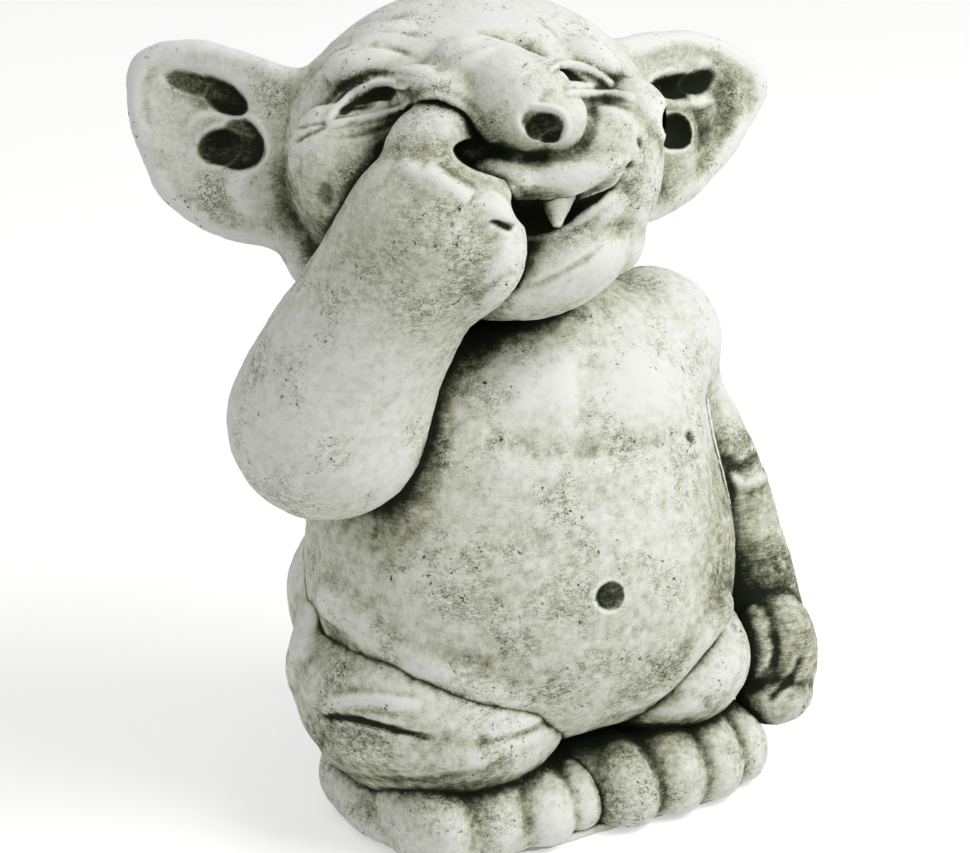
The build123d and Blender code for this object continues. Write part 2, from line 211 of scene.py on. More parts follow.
def treeOf(meshes):
    joined = bmesh.new()
    for mesh in meshes:
        joined.from_mesh(mesh)
    tree = BVHTree.FromBMesh(joined)
    joined.free()
    return tree


def smoothLine(knots, steps=8):
    knots = [np.array(k, dtype=float) for k in knots]
    knots = [2 * knots[0] - knots[1]] + knots + [2 * knots[-1] - knots[-2]]
    line = []
    for a, b, c, d in zip(knots, knots[1:], knots[2:], knots[3:]):
        for step in range(steps):
            t = step / steps
            line.append(b + 0.5 * t * (c - a + t * (2 * a - 5 * b + 4 * c - d + t * (3 * (b - c) + d - a))))
    return np.array(line + [knots[-2]])


# where the ray through a pixel first meets the clay
def touch(tree, spot):
    place, normal, _, _ = tree.ray_cast(eye, throughPixel(*spot))
    return place, normal


def blurred(values, ends, rounds):
    count = len(values)
    share = np.bincount(ends.ravel(), minlength=count).clip(1)
    for _ in range(rounds):
        total = np.zeros_like(values)
        for k in range(values.shape[1]):
            total[:, k] = np.bincount(ends[:, 0], values[ends[:, 1], k], count)
            total[:, k] += np.bincount(ends[:, 1], values[ends[:, 0], k], count)
        values = (values + total / share[:, None]) / 2
    return values


class Sculpt:
    def __init__(self, mesh):
        self.mesh = mesh
        self.refresh()

    def refresh(self):
        self.points = readVerts(self.mesh)
        self.normals = readVerts(self.mesh, "normal")
        self.ends = readEdges(self.mesh)
        easy = blurred(self.normals, self.ends, clayWork["easyRounds"])
        self.easy = easy / np.linalg.norm(easy, axis=1)[:, None].clip(1e-6)
        self.pixels = toPixels(self.points)
        self.tree = treeOf([self.mesh])

    def settle(self):
        self.mesh.vertices.foreach_set("co", self.points.astype(np.float32).ravel())
        self.mesh.update()
        self.refresh()

    # a drawn line of pixels, width in pixels and rise in mm; a third number thins the line there
    def carve(self, spots, width, rise, ends=0.2, sharp=False):
        knots = [(*spot, 1.0) if len(spot) == 2 else spot for spot in spots]
        line = smoothLine(knots)
        low, high = line[:, :2].min(0) - width, line[:, :2].max(0) + width
        near = ((self.pixels > low) & (self.pixels < high)).all(1) & (self.easy @ eyeWay > 0)
        near = np.where(near)[0]
        start, way = line[:-1, :2], np.diff(line[:, :2], axis=0)
        off = self.pixels[near][:, None] - start[None]
        along = np.clip((off * way).sum(2) / (way * way).sum(1).clip(1e-9), 0, 1)
        gaps = np.linalg.norm(off - along[:, :, None] * way, axis=2)
        first = gaps.argmin(1)
        rows = np.arange(len(near))
        at = first + along[rows, first]
        thin = np.interp(at, np.arange(len(line)), line[:, 2])
        least = clayWork["lineWidth"]
        fall = np.clip(1 - gaps[rows, first] / (width * (least + (1 - least) * thin)), 0, 1)
        fall = fall ** clayWork["lineEdge"] if sharp else fall * fall * (3 - 2 * fall)
        share = at / (len(line) - 1)
        fade = np.clip(np.minimum(share, 1 - share) / ends, 0, 1)
        fall = fall * fade * (2 - fade)
        fall *= thin
        worked = fall > clayWork["lineLeast"]
        near, fall = near[worked], fall[worked]
        for i, p in enumerate(self.points[near].tolist()):
            away = Vector(p) - eye
            length = away.length
            gap = self.tree.ray_cast(eye, away / length)[3]
            if gap is not None and gap < length - clayWork["lineBehind"] * mm:
                fall[i] = 0
        self.points[near] += self.easy[near] * (fall * rise * mm)[:, None]

    def carveAll(self, lines):
        for line in lines.values():
            self.carve(*line)
        self.settle()

    # a round press of the thumb: half sizes and rise in mm, lean, flatness, and whether it goes through
    def dent(self, spot, half, rise, lean=0, flat=1.0, through=False):
        place, normal = touch(self.tree, spot)
        across, _ = leaned(lean)
        across = (across - normal * across.dot(normal)).normalized()
        up = normal.cross(across)
        off = (self.points - np.array(place)) / mm
        x = off @ np.array(across) / half[0]
        y = off @ np.array(up) / half[1]
        z = off @ np.array(normal) / max(half)
        gap = np.sqrt(x * x + y * y + z * z * clayWork["dentDepth"])
        fall = np.clip((1 - gap) * flat, 0, 1)
        fall = fall * fall * (3 - 2 * fall)
        if not through:
            steep, start = clayWork["dentTurn"]
            fall *= np.clip(self.normals @ np.array(normal) * steep + start, 0, 1)
        self.points += np.array(normal) * (fall * rise * mm)[:, None]

    def dentAll(self, dents):
        for dent in dents.values():
            self.dent(*dent)
        self.settle()

    # a ball tool pressed straight in: how deep it goes below the spot, half sizes in mm, lean
    def press(self, spot, sink, half, lean=0):
        place, _ = touch(self.tree, spot)
        across, up = [np.array(way) for way in leaned(lean)]
        off = (self.points - np.array(place)) / mm
        x, y, z = off @ across / half[0], off @ up / half[1], off @ eyeWay
        round2 = x * x + y * y
        floor = half[2] - sink - half[2] * np.sqrt(np.clip(1 - round2, 0, 1))
        facing = self.easy @ eyeWay > clayWork["pressTurn"]
        inside = (round2 < 1) & (z > floor) & (z > -half[2]) & facing
        firm = np.clip((1 - np.sqrt(round2)) * clayWork["pressEdge"], 0, 1)
        self.points[inside] += eyeWay * ((floor - z) * firm * mm)[inside][:, None]

    def pressAll(self, presses):
        for press in presses.values():
            self.press(*press)
        self.settle()

    # squeezes the clay sideways out of an oval of pixels
    def bite(self, spot, half, lean=0):
        tilt = math.radians(lean)
        x, y = inOval(self.pixels, spot, half, lean)
        gap = np.sqrt(x * x + y * y).clip(clayWork["biteLeast"])
        more = np.where(gap < 1, 1 / gap - 1, 0)
        x, y = x * more * half[0], y * more * half[1]
        right = x * math.cos(tilt) + y * math.sin(tilt)
        down = y * math.cos(tilt) - x * math.sin(tilt)
        scale = (eye - Vector(self.points.mean(0))).dot(toEye) / focal
        self.points += rightWay * (right * scale)[:, None] - topWay * (down * scale)[:, None]
        self.settle()

    # cuts the faces round a pixel finer: reach in mm
    def refine(self, spot, radius):
        place, _ = touch(self.tree, spot)
        clay = bmesh.new()
        clay.from_mesh(self.mesh)
        reach = radius * mm
        behind = -clayWork["refineBehind"] * reach
        close = [vert for vert in clay.verts if (vert.co - place).length < reach]
        inside = {vert for vert in close if (vert.co - place).dot(toEye) > behind}
        edges = [edge for edge in clay.edges if edge.verts[0] in inside and edge.verts[1] in inside]
        cut = bmesh.ops.subdivide_edges(clay, edges=edges, cuts=1, use_grid_fill=True)
        fresh = [part for part in cut["geom_inner"] if isinstance(part, bmesh.types.BMVert)]
        for _ in range(clayWork["refineRounds"]):
            bmesh.ops.smooth_vert(
                clay, verts=fresh, factor=0.5, use_axis_x=True, use_axis_y=True, use_axis_z=True
            )
        clay.to_mesh(self.mesh)
        clay.free()
        self.refresh()

    def soften(self, rounds):
        self.points = blurred(self.points, self.ends, rounds)
        self.settle()

    # uneven cast surface: rise and size of the bumps in mm, and a seed
    def roughen(self, *bumps):
        for amount, size, seed in bumps:
            shift = Vector((seed, seed * 0.7, -seed))
            scale = 1 / (size * mm)
            kind, places = clayWork["bumpKind"], self.points.tolist()
            rise = [noise.fractal(Vector(place) * scale + shift, *kind) for place in places]
            self.points += self.normals * (np.array(rise) * amount * mm)[:, None]
        self.settle()


# Thighs and hips: two masses that meet under the belly
thighs = {
    "right": [
        ((-55, -17, 63), (65, 71, 48)),
        ((-50, 34, 92), (50, 48, 48)),
        ((-50, -12, 40), (58, 60, 28)),
    ],
    "left": [((55, -19, 62), (51, 68, 39)), ((50, 32, 90), (50, 48, 50)), ((54, 0, 40), (46, 50, 30))],
    # the hip's roll beside the belly: pixel, how far it stands out of the trunk, half sizes, lean
    "rightLumps": {"hip": ((312, 640), 4, (11, 29, 22), -18)},
    "leftLumps": {},
    "skins": ((4, 6), (1.7, 3)),
    "bumps": ((0.8, 22, 5.1), (0.15, 5, 1.4)),
    # pixels, width, rise, faded ends
    "rightLines": {
        "kneePad": ([(322, 744), (370, 754), (430, 762), (500, 760)], 26, 2.4),
        "kneeFold": ([
            (316, 716), (351, 719), (380, 726), (416, 735, 0.6), (437, 738, 0.3),
        ], 6, -1.7, 0.25),
        "upperFold": ([(319, 704), (369, 701), (423, 707)], 12, 1.5, 0.35),
        "lowFold": ([(330, 772), (390, 780), (450, 775), (520, 757)], 8, -0.7, 0.3),
        "sideFold": ([(470, 744), (520, 735), (562, 716)], 8, -0.8, 0.3),
    },
    "leftLines": {
        "kneePad": ([(610, 712), (655, 716), (705, 700)], 16, 1.5),
    },
}


def sculptThigh(side):
    clay = bmesh.new()
    balls(clay, thighs[side])
    tree = treeOf([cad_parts[name].data for name in ("torso", side + "_hip", side + "_thigh")])
    lumps(clay, tree, thighs[side + "Lumps"])
    clay = clayFrom(skinned(clay, *thighs["skins"][0]))
    work = Sculpt(skinned(clay, *thighs["skins"][1]))
    work.carveAll(thighs[side + "Lines"])
    work.roughen(*thighs["bumps"])
    return work.mesh


# Trunk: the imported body, both shoulders and the hanging left arm in one skin
trunk = {
    "masses": [
        ((-80, 20, 210), (42, 44, 42)),
        ((78, 8, 203), (37, 37, 37)),
        ((91, 8, 180), (27, 28, 28)),
    ],
    # places and radii along the hanging arm
    "arm": [
        (102, 5, 155, 26), (112, 3, 136, 25), (118, -5, 111, 24.5), (120.5, -20, 85, 23),
        (121, -34, 62, 22),
    ],
    "hand": [
        ((118, -46, 52), (22, 25, 32)),
        ((105, -54, 60), (11, 12, 21), (-16, 4, 0)),
        ((113, -57, 35), (20, 16, 16)),
    ],
    "skins": ((4, 8), (3, 12), (1.6, 4)),
    "bumps": ((0.8, 26, 3.1), (0.18, 5, 9.4)),
    # the belly hangs over the thighs along this line of pixels
    "foldLine": [
        (340, 620), (362, 634), (398, 663), (434, 684), (466, 699), (509, 709), (551, 714),
        (584, 718), (612, 711), (651, 697), (684, 661), (712, 626),
    ],
    "foldSteps": 3,
    "foldBall": 12,
    "foldLift": 9,
    "foldSink": 7,
    "dents": {
        "navelRim": ((613, 596), (16, 14), -1.0),
        "rightBreast": ((540, 378), (44, 27), 3.0, -14),
        "leftBreast": ((640, 385), (34, 28), 3.0, 8),
        "breastPit": ((692, 437), (7, 5), -1.6),
    },
    "presses": {"navel": ((613, 597), 5, (8.8, 8.0, 7.5), 0)},
    "navelReach": 14,
    "lines": {
        "besideArm": ([(704, 372, 0.5), (710, 410), (718, 460), (728, 520)], 18, -1.6, 0.3),
        "elbowFold": ([(722, 456), (742, 466), (764, 452)], 12, -1.2),
        "elbowRoll": ([(728, 474), (744, 484), (768, 474)], 11, 1.2),
        "breastbone": ([(592, 350), (588, 400), (596, 460)], 30, -1.6),
        "underBreasts": ([(480, 438), (560, 452), (630, 446), (690, 436)], 24, -1.3),
        "thumb": ([(775, 630), (776, 655), (764, 677), (746, 696)], 8, -0.7, 0.2),
        "knuckles": ([(803, 655), (790, 680), (766, 704)], 7, -1.0),
    },
}


def sculptTrunk(thighMeshes):
    clay = bmesh.new()
    packedCopy(clay, "torso")
    balls(clay, trunk["masses"])
    limb(clay, trunk["arm"][:2])
    body = skinned(clay, *trunk["skins"][0])
    tree = treeOf([body] + thighMeshes)
    clay = clayFrom(body)
    for spot in smoothLine(trunk["foldLine"], trunk["foldSteps"]):
        place, _ = touch(tree, spot)
        middle = place + toTop * trunk["foldLift"] * mm - toEye * trunk["foldSink"] * mm
        ball(clay, middle / mm, (trunk["foldBall"],) * 3)
    clay = clayFrom(skinned(clay, *trunk["skins"][1]))
    limb(clay, trunk["arm"][1:])
    balls(clay, trunk["hand"])
    work = Sculpt(skinned(clay, *trunk["skins"][2]))
    work.dentAll(trunk["dents"])
    work.refine(trunk["presses"]["navel"][0], trunk["navelReach"])
    work.pressAll(trunk["presses"])
    work.carveAll(trunk["lines"])
    work.roughen(*trunk["bumps"])
    return work.mesh


# Feet: a broad foot and four stubby toes each, parted only by grooves
feet = {
    "right": [
        ((-53, -9, 14), (52, 57, 29)),
        ((-56, -46, 13), (44, 40, 28)),
        ((-32, -46, 13), (32, 38, 24)),
        ((-52, -24, 9), (54, 62, 16)),
    ],
    "rightToes": [
        ((-80, -49, 15), (20.5, 36, 27)),
        ((-56, -56, 15), (22, 32, 24)),
        ((-31, -60, 14), (21, 30, 22)),
        ((-10, -57, 14), (18, 28, 20)),
    ],
    "left": [
        ((53, -9, 14), (50, 57, 29)),
        ((40, -48, 13), (38, 40, 25)),
        ((66, -44, 13), (36, 38, 24)),
        ((52, -24, 9), (53, 62, 16)),
        ((4, -44, 14), (24, 40, 26)),
    ],
    "leftToes": [
        ((14, -63, 15), (21, 32, 25)),
        ((39, -63, 16), (22, 32, 26)),
        ((63, -60, 16), (21, 32, 25)),
        ((85, -54, 14), (18.5, 28, 22)),
    ],
    "underside": 3.0,
    "skins": ((3, 5), (1.3, 26)),
    "bumps": ((0.7, 16, 2.1), (0.14, 4, 7.4)),
}


def sculptFoot(side):
    clay = bmesh.new()
    balls(clay, feet[side])
    clay = clayFrom(skinned(clay, *feet["skins"][0]))
    balls(clay, feet[side + "Toes"])
    everything = clay.verts[:] + clay.edges[:] + clay.faces[:]
    floor = (0, 0, feet["underside"] * mm)
    sole = bmesh.ops.bisect_plane(
        clay, geom=everything, plane_co=floor, plane_no=(0, 0, -1), clear_outer=True
    )
    rim = [part for part in sole["geom_cut"] if isinstance(part, bmesh.types.BMEdge)]
    bmesh.ops.holes_fill(clay, edges=rim)
    work = Sculpt(skinned(clay, *feet["skins"][1]))
    work.roughen(*feet["bumps"])
    return work.mesh


# Slab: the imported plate, worn uneven round its edge
footSlab = {"skin": (1.2, 4), "trim": 0.955, "flatBelow": 1.5, "bumps": ((0.7, 14, 6.1),)}


def sculptSlab():
    clay = bmesh.new()
    packedCopy(clay, "slab")
    work = Sculpt(skinned(clay, *footSlab["skin"]))
    flat = work.points[:, 2] < footSlab["flatBelow"] * mm
    middle = (work.points.max(0) + work.points.min(0))[:2] / 2
    work.points[:, :2] = middle + (work.points[:, :2] - middle) * footSlab["trim"]
    work.settle()
    work.roughen(*footSlab["bumps"])
    work.points[flat, 2] = np.maximum(work.points[flat, 2], 0)
    work.settle()
    return work.mesh


# Head: the skull and its ears in a turned frame, and a face built over them by the photograph's pixels
head = {
    "place": (-17.7, 8.4, 309.0),
    "turn": -19.0,
    "lift": 15.5,
    "lean": 4.0,
    "masses": [
        ((0, 0, 0), (87, 81, 76)),
        ((-58, -40, -12), (26, 27, 34)),
        ((48, -46, -2), (28, 27, 30)),
        ((8, -30, -50), (48, 42, 24)),
        ((-93, 14, -8), (20, 11, 26)),
        ((91, 14, 0), (18, 11, 24)),
    ],
    "earRoot": (84, 12, 10),
    "earSweep": 30.0,
    "rightEar": [
        (-12, 26), (18, 34), (43, 41), (63, 41), (76, 35), (80, 24), (78, 8), (73, -10), (65, -28),
        (52, -39), (35, -48), (13, -53), (-12, -58),
    ],
    "leftEar": [
        (-34, 40), (-6, 48), (20, 50), (47, 47), (70, 38), (78, 28), (76, 18), (65, 4), (48, -15),
        (29, -30), (6, -40), (-20, -44),
    ],
    "earThickness": 13,
    "skins": ((3, 9), (2.4, 7), (1.5, 6)),
    # pixel, how far the front stands out of the skull, half sizes across, up and deep, lean
    "softLumps": {
        "jowl": ((306, 250), 3, (12, 18, 14), 10),
        "rightCheek": ((350, 172), 7, (25, 34, 24), 30),
        "leftCheek": ((632, 118), 9, (17, 19, 20), 0),
        "cheekUnder": ((633, 165), 9, (14, 22, 20), 0),
        "jaw": ((604, 222), 13, (18, 24, 22), 24),
        "muzzle": ((572, 158), 14, (32, 20, 20), 10),
        "lipCheek": ((608, 140), 15, (17, 16, 18), 10),
        "chin": ((556, 268), 15, (36, 19, 26), 24),
        "mouthFill": ((592, 205), 15, (20, 15, 18), 28),
        "jawSide": ((624, 186), 8, (13, 22, 20), 14),
        "rightEarBack": ((233, 142), -3, (21, 17, 17), -12),
        "leftEarBack": ((674, 126), -3, (15, 14, 15), 20),
        "bulbRoot": ((500, 92), 24, (28, 22, 26), -24),
    },
    # the same, in the last skin, so that their edges stay crisper
    "lumps": {
        "lowerLip": ((566, 242), 15, (27, 8, 14), 22),
        "rightBrow": ((378, 62), 4, (25, 11, 13), 6),
        "foreheadRoll": ((398, 36), 3, (22, 8, 12), 4),
        "leftBrow": ((588, 58), 5, (16, 9, 11), -24),
        "rightLid": ((362, 128), 5, (24, 8, 10), 20),
        "bridge": ((478, 74), 23, (22, 17, 22), -15),
        "bulb": ((518, 102), 32.5, (27, 22, 28), -28),
        "tip": ((556, 122), 30.5, (13.5, 14, 18), 0),
        "upperLip": ((562, 177), 20, (31, 11, 16), 11),
        "lipEnd": ((508, 178), 15, (19, 10, 15), -4),
        "wing": ((448, 93), 24, (24, 9, 17), -20),
        "wingTop": ((428, 88), 17, (14, 9, 13), 24),
    },
    # pixel, half sizes, rise, lean, flatness, whether it goes through the leaf
    "hollows": {
        "rightEarDish": ((203, 120), (30, 26), -5.0, -25, 1.5, True),
        "leftEarDish": ((712, 108), (27, 22), -4.0, 30, 1.5, True),
        "rightEarUpper": ((205, 91), (30, 12), -2.5, -20, 1.2),
        "rightDeepSlope": ((218, 158), (24, 15), -4.5, 16, 1.3, True),
        "leftEarUpper": ((688, 84), (26, 11), -2.5, 12, 1.2),
        "rightSocket": ((372, 102), (21, 10), -3.5, 20),
        "leftSocket": ((582, 80), (17, 8), -1.5, -18),
        "cheekDimple": ((326, 194), (7, 10), -1.6, 15),
        "smileDimple": ((641, 143), (5, 4), -1.8),
    },
    # pixel, depth below it, half sizes, lean
    "earPresses": {
        "rightDeep": ((234, 148), 12, (16, 11.5, 16), -10),
        "rightDeepTop": ((240, 137), 11, (13, 9.5, 14), -38),
        "rightDeepEnd": ((220, 147), 10, (14, 9.5, 13), 4),
        "rightUpper": ((220, 96), 5, (16, 7.5, 8), -30),
        "rightUpperEnd": ((190, 84), 3, (15, 6, 6), -18),
        "leftDeep": ((679, 130), 10, (12.5, 9.5, 14), 24),
        "leftUpper": ((684, 86), 6, (18, 6.5, 9), 8),
        "leftUpperEnd": ((706, 82), 3, (14, 6, 6), 12),
    },
    "facePresses": {
        "rightEye": ((368, 101), 3.0, (14, 4.8, 7), 22),
        "leftEye": ((578, 79), 1.8, (12, 3.0, 5), -17),
        "nostril": ((545, 127), 9, (9.8, 8.0, 12), -10),
        "nostrilTop": ((533, 119), 7, (6.8, 5.6, 9), 20),
        "nostrilLow": ((550, 134), 7, (6.5, 5.6, 9), 20),
    },
    # pixels along the line, width in pixels, rise in mm, faded ends
    "broadLines": {
        "rightEarRim": ([
            (142, 150), (134, 95), (150, 60), (205, 47), (250, 60), (276, 78),
        ], 13, 1.6, 0.15),
        "rightEarLow": ([(150, 165), (180, 208), (225, 236), (266, 245)], 14, 1.2, 0.2),
        "earRidge": ([(185, 135), (200, 116), (225, 112), (252, 118)], 9, 1.8, 0.3),
        "leftEarRim": ([(628, 52), (680, 40), (725, 50), (757, 76), (760, 100)], 12, 1.6, 0.15),
        "leftEarLow": ([(752, 112), (722, 155), (690, 190), (670, 212)], 12, 1.2, 0.2),
        "leftEarRidge": ([(658, 104), (690, 104), (712, 98)], 7, 1.8, 0.3),
        "noseSide": ([(538, 108), (545, 98), (552, 86)], 11, -1.6, 0.3),
        "cheekToNose": ([(591, 96), (594, 114), (590, 134), (580, 150)], 8, -1.3, 0.25),
        "noseTop": ([
            (434, 78, 0.5), (446, 58), (474, 41), (504, 35), (532, 46), (549, 66, 0.6),
        ], 14, -2.0, 0.2),
        "mouth": ([
            (503, 210), (522, 217), (543, 217), (566, 210, 0.6), (588, 200, 0.35),
            (608, 186, 0.25), (622, 173, 0.2), (634, 160, 0.15),
        ], 21, -12, 0.06),
        "mouthDeep": ([(508, 220), (530, 222), (552, 216)], 15, -7, 0.2),
        "underHand": ([(508, 230), (514, 262), (510, 290)], 10, -3, 0.2),
    },
    "fineLines": {
        "lipEdge": ([
            (496, 182), (510, 190), (522, 200), (533, 203), (547, 201), (562, 201), (590, 193),
            (609, 183), (624, 170),
        ], 8, 2.4, 0.12),
        "smileEnd": ([(575, 208), (600, 194), (618, 180), (634, 161)], 4, -2.2, 0.15, True),
        "lowerEdge": ([
            (520, 240), (548, 234), (565, 229), (580, 219), (598, 205), (614, 189),
        ], 8, 1.4, 0.2),
        "eyeBall": ([(345, 112), (368, 108), (390, 103)], 9, 2.6, 0.3),
        "upperLid": ([
            (325, 123), (341, 105), (357, 91), (377, 83), (392, 84), (409, 89),
        ], 5.5, 2.2, 0.1),
        "lowerLid": ([(327, 125), (357, 120), (382, 115), (402, 108), (411, 98)], 5, 1.8, 0.1),
        "lidFold": ([(318, 112), (340, 88), (370, 73), (405, 74), (433, 75)], 5, -0.7, 0.2),
        "underEye": ([(318, 136), (350, 137), (385, 127), (404, 116)], 5, -0.5, 0.25),
        "crowFoot": ([(293, 143), (308, 134), (328, 125)], 3.5, -1.3, 0.2, True),
        "crowFoot2": ([(294, 128), (312, 124), (328, 122)], 3.5, -1.1, 0.2, True),
        "leftBall": ([(568, 84), (580, 86), (596, 88)], 6, 1.6, 0.3),
        "leftUpperLid": ([(548, 69), (568, 65), (594, 72), (614, 87)], 5, 2.2, 0.12),
        "leftLowerLid": ([(564, 92), (590, 94), (612, 94), (636, 98)], 5, 1.8, 0.15),
        "leftUnderEye": ([(596, 104), (614, 104), (634, 110)], 5, -0.5, 0.3),
        "wingEdge": ([
            (410, 108), (420, 99), (434, 95), (448, 98), (470, 112), (482, 130), (498, 145),
        ], 7, 1.8, 0.12),
        "wingUnder": ([
            (410, 114), (420, 107), (434, 103), (448, 107), (468, 121), (479, 139),
        ], 5, -2.4, 0.12),
        "chinCrease": ([(516, 290), (545, 282), (565, 272), (586, 259), (606, 243)], 7, -1.0, 0.3),
        "browLine": ([(302, 84), (322, 64), (346, 50), (384, 45), (424, 60)], 6, -1.1, 0.2),
        "browLine2": ([(318, 56), (350, 36), (390, 30), (430, 38)], 6, -1.0, 0.25),
        "browLine3": ([(340, 32), (370, 20), (410, 16)], 5, -0.8, 0.3),
        "browLine4": ([(520, 12), (545, 24), (560, 40)], 5, -0.7, 0.3),
        "nostrilRim": ([
            (524, 140), (519, 124), (526, 112), (545, 108), (562, 112), (568, 126), (562, 140),
        ], 7, 0.7, 0.1),
    },
    "earMiddles": ((225, 120), (680, 110)),
    "earReach": 34,
    "faceMiddle": (490, 170),
    "faceReach": 68,
    # rounds of softening after the broad work, the presses and the fine lines
    "softenings": (2, 1, 1),
    "bumps": ((0.6, 20, 1.1), (0.14, 4, 4.4)),
}


# a leaf that lies in the ear's own frame, from its outline
def earLeaf(clay, outline, side, headFrame):
    across, back, up = head["earRoot"]
    thick = head["earThickness"] * mm
    root = headFrame @ frameAt((side * across, back, up), (0, 0, side * head["earSweep"]))
    leaf = bmesh.new()
    ring = [leaf.verts.new((side * u * mm, -thick / 2, v * mm)) for u, v in outline]
    sheet = leaf.faces.new(ring)
    pushed = bmesh.ops.extrude_face_region(leaf, geom=[sheet])
    lifted = [part for part in pushed["geom"] if isinstance(part, bmesh.types.BMVert)]
    bmesh.ops.translate(leaf, verts=lifted, vec=(0, thick, 0))
    bmesh.ops.recalc_face_normals(leaf, faces=leaf.faces)
    bmesh.ops.transform(leaf, matrix=root, verts=leaf.verts)
    mesh = bpy.data.meshes.new("leaf")
    leaf.to_mesh(mesh)
    leaf.free()
    clay.from_mesh(mesh)
    bpy.data.meshes.remove(mesh)


def sculptHead():
    headFrame = (
        Matrix.Translation(Vector(head["place"]) * mm)
        @ Matrix.Rotation(math.radians(head["turn"]), 4, "Z")
        @ Matrix.Rotation(math.radians(-head["lift"]), 4, "X")
        @ Matrix.Rotation(math.radians(head["lean"]), 4, "Y")
    )
    clay = bmesh.new()
    for place, half in head["masses"]:
        ball(clay, place, half, within=headFrame)
    earLeaf(clay, head["rightEar"], -1, headFrame)
    earLeaf(clay, head["leftEar"], 1, headFrame)
    skull = skinned(clay, *head["skins"][0])
    tree = treeOf([skull])
    clay = clayFrom(skull)
    lumps(clay, tree, head["softLumps"])
    clay = clayFrom(skinned(clay, *head["skins"][1]))
    lumps(clay, tree, head["lumps"])
    work = Sculpt(skinned(clay, *head["skins"][2]))
    print("head skinned", len(work.points))
    work.dentAll(head["hollows"])
    work.carveAll(head["broadLines"])
    work.soften(head["softenings"][0])
    for spot in head["earMiddles"]:
        work.refine(spot, head["earReach"])
    work.refine(head["faceMiddle"], head["faceReach"])
    print("face and ears refined", len(work.points))
    work.pressAll(head["earPresses"])
    work.pressAll(head["facePresses"])
    work.soften(head["softenings"][1])
    work.carveAll(head["fineLines"])
    work.soften(head["softenings"][2])
    work.roughen(*head["bumps"])
    return work.mesh


# Raised arm: the elbow and forearm, and a hand whose first finger reaches in under the nose
raisedArm = {
    "forearm": [(-110, -19, 207, 45.3), (-102, -30, 240, 40), (-92, -44, 270, 37), (-83, -56, 295, 37)],
    "hand": [
        ((-80, -62, 305), (38, 36, 36)),
        ((-70, -62, 288), (30, 32, 28)),
        ((-68, -74, 300), (24, 24, 22)),
    ],
    # pixel, how far the front stands out of the hand, half sizes across, up and deep, lean
    "lumps": {
        "firstFinger": ((427, 147), 3, (18.5, 25, 22), -28),
        "knuckleRidge": ((440, 190), 3, (22, 8, 16), -34),
        "upperCurl": ((482, 206), 3.5, (14, 10, 15), -28),
        "lowerCurl": ((494, 252), 2.5, (14, 22, 18), -8),
    },
    "skins": ((3.5, 12), (2.2, 6), (1.25, 4)),
    # where the clay is squeezed away, under the finger and beside the lip: pixel, half sizes, lean
    "bites": {"gap": ((500, 160), (48, 17), -14), "lip": ((546, 202), (35, 30), 0)},
    "softening": 7,
    "lines": {
        "knuckles": ([(424, 166), (443, 179), (459, 189), (472, 199)], 12, 1.6),
        "betweenCurls": ([(488, 221, 0.3), (500, 224), (514, 229)], 7, -2.0, 0.2),
        "palm": ([(470, 300), (495, 285), (515, 268)], 9, -0.8),
    },
    "bumps": ((0.8, 24, 8.1), (0.15, 5, 2.4)),
}


def sculptRaisedArm(behind):
    clay = bmesh.new()
    limb(clay, raisedArm["forearm"])
    balls(clay, raisedArm["hand"])
    arm = skinned(clay, *raisedArm["skins"][0])
    tree = treeOf([arm, behind])
    clay = clayFrom(arm)
    lumps(clay, tree, raisedArm["lumps"])
    clay = clayFrom(skinned(clay, *raisedArm["skins"][1]))
    work = Sculpt(skinned(clay, *raisedArm["skins"][2]))
    for bitten in raisedArm["bites"].values():
        work.bite(*bitten)
    work.soften(raisedArm["softening"])
    work.carveAll(raisedArm["lines"])
    work.roughen(*raisedArm["bumps"])
    return work.mesh


# Fang: a stubby tooth under the lip
fang = {
    "root": (557, 197),
    "tilt": 0.15,
    "widths": (1.8, 8.8),
    "sides": 24,
    "length": 14,
    "drop": 5.5,
    "sink": 8.0,
    "skin": (0.5, 6),
    "bumps": ((0.3, 4, 2.0),),
}


def sculptFang(tree):
    place, _ = touch(tree, fang["root"])
    down = (toEye * fang["tilt"] - toTop).normalized()
    middle = place + down * fang["drop"] * mm - toEye * fang["sink"] * mm
    turn = Matrix.Translation(middle) @ down.to_track_quat("-Z", "Y").to_matrix().to_4x4()
    narrow, wide = [width * mm for width in fang["widths"]]
    clay = bmesh.new()
    sides, length = fang["sides"], fang["length"] * mm
    bmesh.ops.create_cone(
        clay, cap_ends=True, segments=sides, radius1=narrow, radius2=wide, depth=length, matrix=turn
    )
    work = Sculpt(skinned(clay, *fang["skin"]))
    work.roughen(*fang["bumps"])
    return work.mesh
